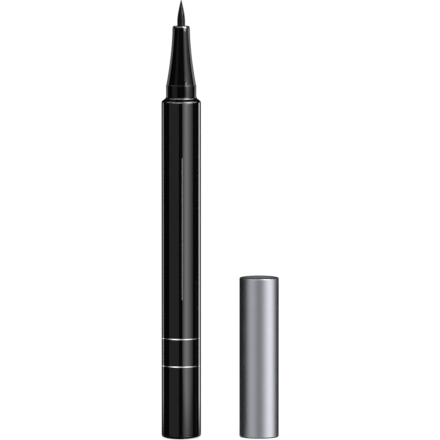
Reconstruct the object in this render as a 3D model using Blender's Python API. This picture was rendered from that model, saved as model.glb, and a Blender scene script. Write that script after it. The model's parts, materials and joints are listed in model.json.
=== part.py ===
"""A brush-tip liquid eyeliner pen standing on its tail, with its cap standing beside it.

Metres, +Z up. The origin is the centre of the flat face under the pen's tail, and the pen's axis is Z.
Everything in the pen is loaded from the rear: nozzle, seal, ink collector, ink tank and last the tail plug.
The cap is a metal shell over a plastic liner, with a sprung inner cap that closes over the nozzle.
"""

import math

import bmesh
import bpy
from mathutils import Vector

MM = 0.001

# Facets and tolerances of the mesh
ROUND_SIDES = 32
SMALL_SIDES = 24
FLARE_STEPS = 8
ARC_STEPS = 3
SEAL_SIDES = 6
BALL_RINGS = 8
WELD = 0.0001 * MM
SMOOTH_ANGLE = math.radians(35)

# Clearances that every fit is worked out from
FIT_GAP = 0.1 * MM
SEAT_GAP = 0.1 * MM
SEAL_GAP = 0.05 * MM
CUT_OVERRUN = 0.5 * MM
EDGE_BREAK = 0.15 * MM

# Barrel
BARREL_RADIUS = 5.5 * MM
BARREL_WALL = 0.8 * MM
BARREL_LENGTH = 94.1 * MM
BARREL_LIP_LENGTH = 1.9 * MM
BARREL_FRONT_FACE = 0.12 * MM
SHOULDER_ROUNDING = 0.4 * MM

# Tail plug
TAIL_FLAT_RADIUS = 3.4 * MM
TAIL_DOME_HEIGHT = 0.9 * MM
TAIL_LAND = 0.1 * MM
SPIGOT_LENGTH = 6.6 * MM
SPIGOT_WALL = 0.8 * MM
SPIGOT_FLOOR = 0.9 * MM
SNAP_RIB_HEIGHT = 0.25 * MM
SNAP_RIB_WIDTH = 0.8 * MM
SNAP_RIB_COUNT = 2

# Brush, and the tube that holds it in the nozzle
BRUSH_RADIUS = 1.08 * MM
BRUSH_PROJECTION = 7.5 * MM
BRUSH_ROOT_DEPTH = 0.4 * MM
BRUSH_STRAIGHT = 1.3 * MM
BRUSH_FLANGE = 0.27 * MM
BRUSH_FLANGE_THICKNESS = 0.6 * MM
BRUSH_SECTORS = 5
BRUSH_RINGS = 8
BRUSH_GATHER_SHARE = 0.5
BRUSH_CURVE_SHARE = 1.6
BRISTLE_GAP_SHARE = 0.07
BRISTLE_TAPER_SHARE = 0.85
HOLDER_WALL = 0.55 * MM
HOLDER_LENGTH = 8.4 * MM
RETAINER_LENGTH = 3.0 * MM
NOSE_STEP = 0.17 * MM

# Nozzle
NOZZLE_SHOULDER = 0.57 * MM
NOZZLE_SHOULDER_LENGTH = 2.2 * MM
NOZZLE_LENGTH = 20.3 * MM
NOZZLE_STRAIGHT = 3.6 * MM
NOZZLE_TIP_WALL = 0.48 * MM
NOZZLE_LIP_LENGTH = 1.9 * MM
NOZZLE_RIM_ROUNDING = 0.25 * MM
NOZZLE_FLARE_SHARE = 1.8
SKIRT_LENGTH = 19.9 * MM
SKIRT_WALL = 0.6 * MM
BRUSH_RUNNING_GAP = 0.12 * MM

# Ink collector, wick and seals
FIN_COUNT = 13
FIN_THICKNESS = 0.45 * MM
FIN_GAP = 0.2 * MM
COLLECTOR_FLANGE = 1.2 * MM
TANK_STOPPER_LENGTH = 4.0 * MM
SLIT_WIDTH = 0.25 * MM
SLIT_DEPTH_IN_CORE = 0.35 * MM
AIR_NOTCH_WIDTH = 1.0 * MM
AIR_NOTCH_DEPTH = 0.9 * MM
WICK_RADIUS = 0.9 * MM
WICK_REACH = 4.0 * MM
SEAL_SECTION_RADIUS = 0.4 * MM

# Ink tank and mixing ball
TANK_WALL = 0.6 * MM
TANK_FLOOR = 1.3 * MM
TANK_DISH_DEPTH = 0.9 * MM
TANK_DISH_FLAT = 0.9 * MM
BALL_RADIUS = 1.5 * MM

# Cap
CAP_OFFSET = 21.7 * MM
CAP_BACK = 3.0 * MM
SHELL_WALL = 0.45 * MM
SHELL_ROUNDING = 0.3 * MM
MOUTH_FLANGE = 0.35 * MM
MOUTH_INSET = 0.1 * MM
MOUTH_RIM = 0.3 * MM
MOUTH_ROUNDING = 0.2 * MM
CAP_FIT_GAP = 0.12 * MM
SNAP_BEAD_GAP = 0.05 * MM
SNAP_BEAD_PLACE = 3.0 * MM
SNAP_BEAD_WIDTH = 1.0 * MM
LINER_WALL = 0.45 * MM
LINER_BAND_LENGTH = 2.4 * MM
LINER_LEDGE = 1.2 * MM
CROWN_DISC = 2.1 * MM
CROWN_SOCKET_ROOF = 1.55 * MM
CROWN_BOSS_LENGTH = 3.4 * MM
CROWN_RECESS = 0.1 * MM
CROWN_ROUNDING = 0.2 * MM

# Sprung inner cap
SEAL_REACH = 4.5 * MM
SEAL_BORE_LENGTH = 5.0 * MM
SEAL_BORE_GAP = 0.11 * MM
INNER_CAP_WALL = 0.4 * MM
INNER_FLANGE = 0.45 * MM
INNER_FLANGE_THICKNESS = 1.0 * MM
BRUSH_ROOM = 0.8 * MM
TIP_ROOM = 0.9 * MM
TIP_ROOM_CONE = 1.2 * MM
INNER_CAP_ROOF = 1.0 * MM
SPRING_PIN_RADIUS = 1.2 * MM
SPRING_PIN_LENGTH = 2.2 * MM
SPRING_LENGTH = 10.5 * MM
SPRING_WIRE_RADIUS = 0.15 * MM
SPRING_PIN_GAP = 0.35 * MM
SPRING_TURNS = 7
SPRING_TURN_POINTS = 9
SPRING_END_PITCH = 0.65 * MM
SPRING_POCKET_GAP = 0.25 * MM

# Radii, from the brush outwards and from the barrel inwards
bore_radius = BARREL_RADIUS - BARREL_WALL
insert_radius = bore_radius - FIT_GAP
nozzle_radius = bore_radius - NOZZLE_SHOULDER
mouth_radius = nozzle_radius + FIT_GAP
skirt_bore = insert_radius - SKIRT_WALL
fin_radius = skirt_bore - FIN_GAP
holder_bore = BRUSH_RADIUS + FIT_GAP
holder_radius = holder_bore + HOLDER_WALL
holder_seat_radius = holder_radius + FIT_GAP
nose_seat_radius = holder_seat_radius + NOSE_STEP
nose_radius = nose_seat_radius - FIT_GAP
nozzle_mouth_radius = BRUSH_RADIUS + BRUSH_RUNNING_GAP
nozzle_tip_radius = holder_seat_radius + NOZZLE_TIP_WALL
brush_flange_radius = BRUSH_RADIUS + BRUSH_FLANGE
wick_bore = WICK_RADIUS + FIT_GAP
tank_bore = insert_radius - TANK_WALL
stopper_radius = tank_bore - FIT_GAP
groove_radius = tank_bore - 2 * (SEAL_GAP + SEAL_SECTION_RADIUS)

# Stations along the pen, from its tail
barrel_rear = TAIL_DOME_HEIGHT + TAIL_LAND + SEAT_GAP
barrel_front = barrel_rear + BARREL_LENGTH
nozzle_tip = barrel_front + NOZZLE_LENGTH
nozzle_shoulder = barrel_front - BARREL_LIP_LENGTH - SEAT_GAP
nozzle_rear = nozzle_shoulder - SKIRT_LENGTH
nozzle_step = nozzle_shoulder - NOZZLE_SHOULDER_LENGTH
holder_front = nozzle_tip - NOZZLE_LIP_LENGTH - SEAT_GAP
holder_rear = holder_front - HOLDER_LENGTH
retainer_rear = holder_rear - SEAT_GAP - RETAINER_LENGTH
nozzle_seal_place = nozzle_step - SEAT_GAP - SEAL_SECTION_RADIUS
fins_front = nozzle_seal_place - SEAL_SECTION_RADIUS - SEAT_GAP
collector_flange_front = nozzle_rear - SEAT_GAP
collector_flange_rear = collector_flange_front - COLLECTOR_FLANGE
collector_rear = collector_flange_rear - TANK_STOPPER_LENGTH
collector_front = retainer_rear - SEAT_GAP
wick_rear = collector_rear - WICK_REACH
wick_front = holder_rear - SEAT_GAP
tank_front = collector_flange_rear - SEAT_GAP
tank_rear = TAIL_DOME_HEIGHT + TAIL_LAND + SPIGOT_LENGTH + SEAT_GAP
brush_length = nozzle_tip + BRUSH_PROJECTION - holder_rear
ball_place = tank_rear + TANK_FLOOR + SEAT_GAP + BALL_RADIUS

# Radii and stations of the cap, from its mouth
shell_bore = BARREL_RADIUS - SHELL_WALL
band_radius = shell_bore - FIT_GAP
liner_bore = nozzle_radius + CAP_FIT_GAP
liner_radius = liner_bore + LINER_WALL
mouth_flange_radius = BARREL_RADIUS - MOUTH_INSET
seal_bore = nozzle_tip_radius + SEAL_BORE_GAP
inner_cap_radius = seal_bore + INNER_CAP_WALL
ledge_bore = inner_cap_radius + FIT_GAP
inner_flange_radius = inner_cap_radius + INNER_FLANGE
upper_bore = inner_flange_radius + FIT_GAP
boss_radius = upper_bore - FIT_GAP
liner_upper_radius = upper_bore + LINER_WALL
cap_seat_depth = BARREL_RADIUS - (mouth_flange_radius - MOUTH_RIM) + SEAT_GAP
nozzle_reach = NOZZLE_LENGTH + cap_seat_depth
inner_cap_mouth = nozzle_reach - SEAL_REACH
inner_cap_room = SEAL_REACH + BRUSH_PROJECTION + TIP_ROOM
inner_cap_height = inner_cap_room + INNER_CAP_ROOF
ledge_front = inner_cap_mouth + SEAL_BORE_LENGTH - INNER_FLANGE_THICKNESS - SEAT_GAP
spring_foot = inner_cap_mouth + inner_cap_height + SEAT_GAP
spring_head = spring_foot + SPRING_LENGTH
socket_roof = spring_head + SEAT_GAP
boss_foot = socket_roof - CROWN_BOSS_LENGTH
disc_foot = socket_roof + CROWN_SOCKET_ROOF
liner_top = disc_foot - SEAT_GAP
crown_top = disc_foot + CROWN_DISC
shell_foot = MOUTH_FLANGE + SEAT_GAP
shell_top = crown_top + CROWN_RECESS
spring_radius = SPRING_PIN_RADIUS + SPRING_PIN_GAP + SPRING_WIRE_RADIUS
socket_radius = spring_radius + SPRING_WIRE_RADIUS + SPRING_POCKET_GAP


def finish(name, colour, roughness, metallic=0.0):
    made = bpy.data.materials.new(name)
    made.use_nodes = True
    shader = made.node_tree.nodes["Principled BSDF"]
    shader.inputs["Base Color"].default_value = (*colour, 1.0)
    shader.inputs["Roughness"].default_value = roughness
    shader.inputs["Metallic"].default_value = metallic
    made.diffuse_color = (*colour, 1.0)
    return made


def holder_at(name, x=0.0, y=0.0, parent=None):
    """An empty on the axis of the pieces that it carries."""
    empty = bpy.data.objects.new(name, None)
    empty.location = (x, y, 0.0)
    empty.parent = parent
    bpy.context.scene.collection.objects.link(empty)
    return empty


def piece(name, shape, material, carrier, station=0.0):
    """The finished bmesh as an object, standing on its own origin at a station along its carrier's axis."""
    mesh = bpy.data.meshes.new(name)
    shape.to_mesh(mesh)
    shape.free()
    mesh.materials.append(material)
    mesh.shade_smooth()
    mesh.set_sharp_from_angle(angle=SMOOTH_ANGLE)
    made = bpy.data.objects.new(name, mesh)
    made.location = (0.0, 0.0, station)
    made.parent = carrier
    bpy.context.scene.collection.objects.link(made)
    return made


def turned(outline, closed, sides=ROUND_SIDES):
    """A turned solid from (radius, height) points. An open outline starts and ends on the axis."""
    shape = bmesh.new()
    points = [shape.verts.new((radius, 0.0, height)) for radius, height in outline]
    pairs = list(zip(points, points[1:]))
    if closed:
        pairs.append((points[-1], points[0]))
    edges = [shape.edges.new(pair) for pair in pairs]
    bmesh.ops.spin(
        shape,
        geom=points + edges,
        cent=Vector(),
        axis=Vector((0, 0, 1)),
        angle=math.tau,
        steps=sides,
        use_merge=True,
    )
    bmesh.ops.remove_doubles(shape, verts=shape.verts, dist=WELD)
    bmesh.ops.recalc_face_normals(shape, faces=shape.faces)
    return shape


def arc(centre, radii, start, end, steps=ARC_STEPS):
    """Points of an elliptical arc in an outline, with its angles in degrees from the radial direction."""
    turns = [math.radians(start + (end - start) * step / steps) for step in range(steps + 1)]
    return [(centre[0] + radii[0] * math.cos(turn), centre[1] + radii[1] * math.sin(turn)) for turn in turns]


def fillet(before, corner, after, radius, steps=ARC_STEPS):
    """A round of this radius in place of an outline's corner."""
    corner = Vector(corner)
    ways = [(Vector(point) - corner).normalized() for point in (before, after)]
    half = ways[0].angle(ways[1]) / 2
    starts = [corner + way * radius / math.tan(half) for way in ways]
    centre = corner + (ways[0] + ways[1]).normalized() * radius / math.sin(half)
    arms = [start - centre for start in starts]
    swing = arms[0].angle(arms[1])
    points = []
    for step in range(steps + 1):
        share = step / steps
        first = math.sin((1 - share) * swing) / math.sin(swing)
        second = math.sin(share * swing) / math.sin(swing)
        points.append(tuple(centre + arms[0] * first + arms[1] * second))
    return points


def cut(target, name, size, centre):
    """A box-shaped cut, from a hidden cutter placed in the target's own axes."""
    shape = bmesh.new()
    bmesh.ops.create_cube(shape, size=1.0)
    bmesh.ops.scale(shape, vec=size, verts=shape.verts)
    cutter = piece(name, shape, target.active_material, target.parent)
    cutter.location = Vector(centre) + target.location
    cutter.hide_render = True
    cutter.display_type = "WIRE"
    boolean = target.modifiers.new(name, "BOOLEAN")
    boolean.operation = "DIFFERENCE"
    boolean.object = cutter


def barrel(carrier, material):
    front_edge = mouth_radius + BARREL_FRONT_FACE
    chamfer_foot = BARREL_LENGTH - (BARREL_RADIUS - front_edge)
    side = (BARREL_RADIUS, EDGE_BREAK)
    shoulder = (BARREL_RADIUS, chamfer_foot)
    front = (front_edge, BARREL_LENGTH)
    outline = [(bore_radius, 0.0), (BARREL_RADIUS - EDGE_BREAK, 0.0), side]
    outline += fillet(side, shoulder, front, SHOULDER_ROUNDING)
    outline += [front, (mouth_radius, BARREL_LENGTH)]
    outline += [(radius, BARREL_LENGTH - BARREL_LIP_LENGTH) for radius in (mouth_radius, bore_radius)]
    piece("barrel", turned(outline, closed=True), material, carrier, barrel_rear)


def tail_plug(carrier, material):
    """The domed end that shuts the barrel, on a hollow spigot with snap ribs."""
    flange = TAIL_DOME_HEIGHT + TAIL_LAND
    core = insert_radius - SNAP_RIB_HEIGHT
    top = flange + SPIGOT_LENGTH
    floor = flange + SPIGOT_FLOOR
    dome = (BARREL_RADIUS - TAIL_FLAT_RADIUS, TAIL_DOME_HEIGHT)
    outline = [(0.0, 0.0)]
    outline += arc((TAIL_FLAT_RADIUS, TAIL_DOME_HEIGHT), dome, -90, 0)
    outline += [(BARREL_RADIUS, flange), (core, flange)]
    for rib in range(SNAP_RIB_COUNT):
        middle = flange + SPIGOT_LENGTH * (rib + 1) / (SNAP_RIB_COUNT + 1)
        outline += [
            (core, middle - SNAP_RIB_WIDTH / 2),
            (insert_radius, middle - SNAP_RIB_WIDTH / 4),
            (insert_radius, middle + SNAP_RIB_WIDTH / 4),
            (core, middle + SNAP_RIB_WIDTH / 2),
        ]
    outline += [(core, top - EDGE_BREAK), (core - EDGE_BREAK, top)]
    outline += [(core - SPIGOT_WALL, top), (core - SPIGOT_WALL, floor), (0.0, floor)]
    piece("tail_plug", turned(outline, closed=False), material, carrier)


def ink_tank(carrier, material):
    """A cup with a dished floor, which brings the mixing ball back to the middle."""
    length = tank_front - tank_rear
    outline = [(0.0, 0.0), (insert_radius - EDGE_BREAK, 0.0), (insert_radius, EDGE_BREAK)]
    outline += [(insert_radius, length), (tank_bore, length), (tank_bore, TANK_FLOOR + TANK_DISH_DEPTH)]
    outline += [(TANK_DISH_FLAT, TANK_FLOOR), (0.0, TANK_FLOOR)]
    piece("ink_tank", turned(outline, closed=False), material, carrier, tank_rear)


def mixing_ball(carrier, material):
    shape = bmesh.new()
    bmesh.ops.create_uvsphere(shape, u_segments=2 * BALL_RINGS, v_segments=BALL_RINGS, radius=BALL_RADIUS)
    piece("mixing_ball", shape, material, carrier, ball_place)


def ink_collector(carrier, material):
    """The comb of fins that takes up surplus ink, with its stopper in the tank and its nose in the nozzle."""
    flange_foot = TANK_STOPPER_LENGTH
    comb_foot = flange_foot + COLLECTOR_FLANGE
    comb_top = fins_front - collector_rear
    pitch = (comb_top - comb_foot) / FIN_COUNT
    top = collector_front - collector_rear
    groove_half = SEAL_SECTION_RADIUS + SEAL_GAP
    groove_middle = TANK_STOPPER_LENGTH / 2
    outline = [(wick_bore, 0.0), (stopper_radius - EDGE_BREAK, 0.0), (stopper_radius, EDGE_BREAK)]
    outline += [(radius, groove_middle - groove_half) for radius in (stopper_radius, groove_radius)]
    outline += [(radius, groove_middle + groove_half) for radius in (groove_radius, stopper_radius)]
    outline += [(stopper_radius, flange_foot), (insert_radius, flange_foot)]
    outline += [(insert_radius, comb_foot), (nose_radius, comb_foot)]
    for fin in range(FIN_COUNT):
        fin_top = comb_foot + pitch * (fin + 1)
        outline += [(radius, fin_top - FIN_THICKNESS) for radius in (nose_radius, fin_radius)]
        outline += [(radius, fin_top) for radius in (fin_radius, nose_radius)]
    outline += [(nose_radius, top - EDGE_BREAK), (nose_radius - EDGE_BREAK, top), (wick_bore, top)]
    comb = turned(outline, closed=True, sides=SMALL_SIDES)
    made = piece("ink_collector", comb, material, carrier, collector_rear)
    comb_length = comb_top - comb_foot + CUT_OVERRUN
    comb_middle = comb_foot + comb_length / 2
    slit_reach = fin_radius + CUT_OVERRUN - (nose_radius - SLIT_DEPTH_IN_CORE)
    slit_middle = nose_radius - SLIT_DEPTH_IN_CORE + slit_reach / 2
    slit_size = (SLIT_WIDTH, slit_reach, comb_length)
    cut(made, "capillary_slit_cutter", slit_size, (0.0, slit_middle, comb_middle))
    notch_reach = AIR_NOTCH_DEPTH + CUT_OVERRUN
    notch_middle = fin_radius - AIR_NOTCH_DEPTH + notch_reach / 2
    notch_size = (AIR_NOTCH_WIDTH, notch_reach, comb_length)
    cut(made, "air_notch_cutter", notch_size, (0.0, -notch_middle, comb_middle))


def ring_seal(name, seat_radius, station, carrier, material):
    """An O-ring round a seat of this radius, centred on its station."""
    middle = (seat_radius + SEAL_GAP + SEAL_SECTION_RADIUS, 0.0)
    section = arc(middle, (SEAL_SECTION_RADIUS, SEAL_SECTION_RADIUS), 0, 360, SEAL_SIDES)[:-1]
    piece(name, turned(section, closed=True, sides=SMALL_SIDES), material, carrier, station)


def seals(carrier, material):
    ring_seal("tank_seal", groove_radius, collector_rear + TANK_STOPPER_LENGTH / 2, carrier, material)
    ring_seal("nozzle_seal", nose_radius, nozzle_seal_place, carrier, material)


def feed_wick(carrier, material):
    length = wick_front - wick_rear
    outline = [(0.0, 0.0), (WICK_RADIUS - EDGE_BREAK, 0.0), (WICK_RADIUS, EDGE_BREAK)]
    outline += [(WICK_RADIUS, length - EDGE_BREAK), (WICK_RADIUS - EDGE_BREAK, length), (0.0, length)]
    piece("feed_wick", turned(outline, closed=False, sides=SMALL_SIDES), material, carrier, wick_rear)


def nozzle(carrier, material):
    """The flared front end, with a skirt round the collector and a seat for the brush holder."""
    shoulder = nozzle_shoulder - nozzle_rear
    top = nozzle_tip - nozzle_rear
    flare_foot = barrel_front - nozzle_rear + NOZZLE_STRAIGHT
    flare_height = top - NOZZLE_RIM_ROUNDING - flare_foot
    outline = [(skirt_bore, 0.0), (insert_radius - EDGE_BREAK, 0.0), (insert_radius, EDGE_BREAK)]
    outline += [(insert_radius, shoulder), (nozzle_radius, shoulder)]
    for step in range(FLARE_STEPS):
        share = step / FLARE_STEPS
        spread = (nozzle_radius - nozzle_tip_radius) * (1 - share) ** NOZZLE_FLARE_SHARE
        outline.append((nozzle_tip_radius + spread, flare_foot + flare_height * share))
    rim = (nozzle_tip_radius - NOZZLE_RIM_ROUNDING, top - NOZZLE_RIM_ROUNDING)
    outline += arc(rim, (NOZZLE_RIM_ROUNDING, NOZZLE_RIM_ROUNDING), 0, 90)
    lip = holder_front + SEAT_GAP - nozzle_rear
    outline += [(nozzle_mouth_radius, top), (nozzle_mouth_radius, lip)]
    outline += [(holder_seat_radius, height) for height in (lip, holder_rear - nozzle_rear)]
    outline += [(nose_seat_radius, height - nozzle_rear) for height in (holder_rear, nozzle_step)]
    outline += [(skirt_bore, nozzle_step - nozzle_rear)]
    piece("nozzle", turned(outline, closed=True), material, carrier, nozzle_rear)


def brush_holder(carrier, material):
    """The tube that is pressed onto the brush, with a recess for the brush's flange."""
    recess = (brush_flange_radius + FIT_GAP, BRUSH_FLANGE_THICKNESS + SEAT_GAP)
    outline = [(recess[0], 0.0), (holder_radius, 0.0), (holder_radius, HOLDER_LENGTH - EDGE_BREAK)]
    outline += [(holder_radius - EDGE_BREAK, HOLDER_LENGTH), (holder_bore, HOLDER_LENGTH)]
    outline += [(holder_bore, recess[1]), recess]
    piece("brush_holder", turned(outline, closed=True, sides=SMALL_SIDES), material, carrier, holder_rear)


def brush_retainer(carrier, material):
    outline = [(wick_bore, 0.0), (nose_radius - EDGE_BREAK, 0.0), (nose_radius, EDGE_BREAK)]
    outline += [(nose_radius, RETAINER_LENGTH - EDGE_BREAK), (nose_radius - EDGE_BREAK, RETAINER_LENGTH)]
    outline += [(wick_bore, RETAINER_LENGTH)]
    piece("brush_retainer", turned(outline, closed=True, sides=SMALL_SIDES), material, carrier, retainer_rear)


def brush_tip(carrier, material):
    """Bristles on the end of a bound rod, one on each triangle, that run straight and then gather to a point."""
    root = brush_length - BRUSH_PROJECTION - BRUSH_ROOT_DEPTH
    waist = root + BRUSH_ROOT_DEPTH + BRUSH_STRAIGHT
    taper = BRUSH_PROJECTION - BRUSH_STRAIGHT
    shape = bmesh.new()
    bmesh.ops.create_circle(
        shape, cap_ends=True, cap_tris=True, segments=BRUSH_SECTORS, radius=BRUSH_RADIUS
    )
    bmesh.ops.subdivide_edges(shape, edges=shape.edges, cuts=BRUSH_RINGS - 1, use_grid_fill=True)
    half_sector = math.pi / BRUSH_SECTORS
    corner = max(shape.verts, key=lambda vertex: vertex.co.length).co
    start = math.atan2(corner.y, corner.x) + half_sector
    for vertex in shape.verts:
        across = math.remainder(math.atan2(vertex.co.y, vertex.co.x) - start, 2 * half_sector)
        vertex.co *= math.cos(across) / math.cos(half_sector)
        vertex.co.z = root
    bristles = shape.faces[:]
    rim = [edge for edge in shape.edges if edge.is_boundary]
    for radius, height in (
        (BRUSH_RADIUS, BRUSH_FLANGE_THICKNESS),
        (brush_flange_radius, BRUSH_FLANGE_THICKNESS),
        (brush_flange_radius, 0.0),
    ):
        grown = bmesh.ops.extrude_edge_only(shape, edges=rim)["geom"]
        rim = [part for part in grown if isinstance(part, bmesh.types.BMEdge)]
        for vertex in {vertex for edge in rim for vertex in edge.verts}:
            vertex.co = (*(vertex.co.xy.normalized() * radius), height)
    bmesh.ops.contextual_create(shape, geom=rim)
    bmesh.ops.recalc_face_normals(shape, faces=shape.faces)
    cell = BRUSH_RADIUS / BRUSH_RINGS
    bmesh.ops.inset_individual(shape, faces=bristles, thickness=cell * BRISTLE_GAP_SHARE)
    tops = bmesh.ops.extrude_discrete_faces(shape, faces=bristles)["faces"]
    for top in tops:
        centre = top.calc_center_median()
        for vertex in top.verts:
            vertex.co = centre + (vertex.co - centre) * BRISTLE_TAPER_SHARE
            vertex.co.z = waist
    tips = bmesh.ops.poke(shape, faces=tops)["verts"]
    for tip in tips:
        distance = tip.co.xy.length / BRUSH_RADIUS
        reach = ((1 - distance) / (1 - BRUSH_GATHER_SHARE * distance)) ** (1 / BRUSH_CURVE_SHARE)
        tip.co = (*(tip.co.xy * (1 - BRUSH_GATHER_SHARE * reach)), waist + taper * reach)
    piece("brush_tip", shape, material, carrier, holder_rear)


def cap_shell(carrier, material):
    height = shell_top - shell_foot
    edge = (BARREL_RADIUS - SHELL_ROUNDING, height - SHELL_ROUNDING)
    outline = [(shell_bore, 0.0), (BARREL_RADIUS - EDGE_BREAK, 0.0), (BARREL_RADIUS, EDGE_BREAK)]
    outline += arc(edge, (SHELL_ROUNDING, SHELL_ROUNDING), 0, 90)
    outline += [(shell_bore, height)]
    piece("cap_shell", turned(outline, closed=True), material, carrier, shell_foot)


def cap_liner(carrier, material):
    """The plastic tube in the shell: mouth flange, snap bead, three bands and the inner cap's ledge."""
    mouth_edge = mouth_flange_radius - MOUTH_RIM
    ledge_rear = ledge_front - LINER_LEDGE
    foot = (mouth_flange_radius - MOUTH_ROUNDING, MOUTH_ROUNDING)
    outline = [(mouth_edge, 0.0)]
    outline += arc(foot, (MOUTH_ROUNDING, MOUTH_ROUNDING), -90, 0)
    outline += [(radius, MOUTH_FLANGE) for radius in (mouth_flange_radius, band_radius)]
    outline += [(radius, shell_foot + LINER_BAND_LENGTH) for radius in (band_radius, liner_radius)]
    outline += [(radius, ledge_rear) for radius in (liner_radius, band_radius)]
    outline += [(radius, ledge_rear + LINER_BAND_LENGTH) for radius in (band_radius, liner_upper_radius)]
    outline += [(radius, liner_top - LINER_BAND_LENGTH) for radius in (liner_upper_radius, band_radius)]
    outline += [(radius, liner_top) for radius in (band_radius, upper_bore)]
    outline += [(radius, ledge_front) for radius in (upper_bore, ledge_bore)]
    outline += [(radius, ledge_rear) for radius in (ledge_bore, liner_bore)]
    for radius, rise in ((0.0, 1), (SNAP_BEAD_GAP - CAP_FIT_GAP, 0), (0.0, -1)):
        outline.append((liner_bore + radius, SNAP_BEAD_PLACE + rise * SNAP_BEAD_WIDTH / 2))
    outline.append((liner_bore, mouth_edge - liner_bore))
    piece("cap_liner", turned(outline, closed=True), material, carrier)


def cap_crown(carrier, material):
    """The disc that closes the cap, with a socket under it for the spring."""
    disc = disc_foot - boss_foot
    top = crown_top - boss_foot
    roof = socket_roof - boss_foot
    edge = (band_radius - CROWN_ROUNDING, top - CROWN_ROUNDING)
    outline = [(0.0, roof), (socket_radius, roof), (socket_radius, 0.0), (boss_radius - EDGE_BREAK, 0.0)]
    outline += [(boss_radius, EDGE_BREAK), (boss_radius, disc), (band_radius, disc)]
    outline += arc(edge, (CROWN_ROUNDING, CROWN_ROUNDING), 0, 90)
    outline += [(0.0, top)]
    piece("cap_crown", turned(outline, closed=False), material, carrier, boss_foot)


def inner_cap(carrier, material):
    """The cup that shuts over the nozzle, hung in the liner by its flange."""
    flange_foot = ledge_front + SEAT_GAP - inner_cap_mouth
    flange_top = flange_foot + INNER_FLANGE_THICKNESS
    brush_room = BRUSH_RADIUS + BRUSH_ROOM
    outline = [(0.0, inner_cap_height + SPRING_PIN_LENGTH)]
    outline += [(SPRING_PIN_RADIUS - EDGE_BREAK, inner_cap_height + SPRING_PIN_LENGTH)]
    outline += [(SPRING_PIN_RADIUS, inner_cap_height + SPRING_PIN_LENGTH - EDGE_BREAK)]
    outline += [(SPRING_PIN_RADIUS, inner_cap_height), (inner_cap_radius, inner_cap_height)]
    outline += [(inner_cap_radius, flange_top), (inner_flange_radius, flange_top)]
    outline += [(inner_flange_radius, flange_foot), (inner_cap_radius, flange_foot)]
    outline += [(inner_cap_radius, 0.0), (seal_bore + EDGE_BREAK, 0.0), (seal_bore, EDGE_BREAK)]
    outline += [(seal_bore, SEAL_BORE_LENGTH), (brush_room, SEAL_BORE_LENGTH)]
    outline += [(brush_room, inner_cap_room - TIP_ROOM_CONE), (0.0, inner_cap_room)]
    piece("inner_cap", turned(outline, closed=False, sides=SMALL_SIDES), material, carrier, inner_cap_mouth)


def inner_cap_spring(carrier, material):
    """A wire helix whose end turns lie closer than the rest."""
    turns = SPRING_TURNS
    height = SPRING_LENGTH - 2 * SPRING_WIRE_RADIUS
    open_pitch = (height - 2 * SPRING_END_PITCH) / (turns - 2)
    curve = bpy.data.curves.new("inner_cap_spring", "CURVE")
    curve.dimensions = "3D"
    curve.bevel_depth = SPRING_WIRE_RADIUS
    curve.bevel_resolution = 1
    curve.use_fill_caps = True
    spline = curve.splines.new("POLY")
    count = turns * SPRING_TURN_POINTS
    spline.points.add(count)
    for index, point in enumerate(spline.points):
        turn = index / SPRING_TURN_POINTS
        low = min(turn, 1.0) + max(turn - (turns - 1), 0.0)
        rise = SPRING_WIRE_RADIUS + low * SPRING_END_PITCH + (turn - low) * open_pitch
        angle = turn * math.tau
        point.co = (spring_radius * math.cos(angle), spring_radius * math.sin(angle), rise, 1.0)
    curve.materials.append(material)
    made = bpy.data.objects.new("inner_cap_spring", curve)
    made.location = (0.0, 0.0, spring_foot)
    made.parent = carrier
    bpy.context.scene.collection.objects.link(made)


def main():
    for old in list(bpy.data.objects):
        bpy.data.objects.remove(old)
    black_gloss = finish("gloss_black_plastic", (0.010, 0.010, 0.012), 0.14)
    moulded = finish("moulded_black_plastic", (0.020, 0.020, 0.022), 0.32)
    natural = finish("natural_polypropylene", (0.78, 0.79, 0.78), 0.35)
    white = finish("white_acetal", (0.85, 0.85, 0.83), 0.4)
    rubber = finish("black_rubber", (0.018, 0.018, 0.018), 0.75)
    fibre = finish("bonded_fibre", (0.80, 0.78, 0.72), 0.9)
    bristle = finish("inked_bristle", (0.006, 0.006, 0.007), 0.5)
    steel = finish("stainless_steel", (0.66, 0.66, 0.67), 0.2, 1.0)
    satin = finish("satin_silver", (0.62, 0.63, 0.65), 0.3, 1.0)
    grey = finish("dark_grey_plastic", (0.12, 0.13, 0.14), 0.4)

    pen = holder_at("pen_axis")
    ball = holder_at("mixing_ball_axis")
    cap = holder_at("cap_axis", CAP_OFFSET, CAP_BACK)
    inner = holder_at("inner_cap_axis", parent=cap)

    barrel(pen, black_gloss)
    tail_plug(pen, black_gloss)
    ink_tank(pen, natural)
    mixing_ball(ball, steel)
    ink_collector(pen, white)
    seals(pen, rubber)
    feed_wick(pen, fibre)
    nozzle(pen, black_gloss)
    brush_holder(pen, moulded)
    brush_retainer(pen, white)
    brush_tip(pen, bristle)
    cap_shell(cap, satin)
    cap_liner(cap, moulded)
    cap_crown(cap, grey)
    inner_cap(inner, natural)
    inner_cap_spring(inner, steel)


main()
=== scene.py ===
"""Looks of the brush-tip liquid eyeliner pen and of the satin metal cap that stands beside it.

Metres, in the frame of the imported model: the pen's axis is Z, and the cap's axis stands to its right and
a little behind. Turned pieces are made again here with fine facets, at the sizes of the frame's nodes.
"""

import json
import math
import random

import bmesh
import bpy
from mathutils import Matrix, Vector

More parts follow.
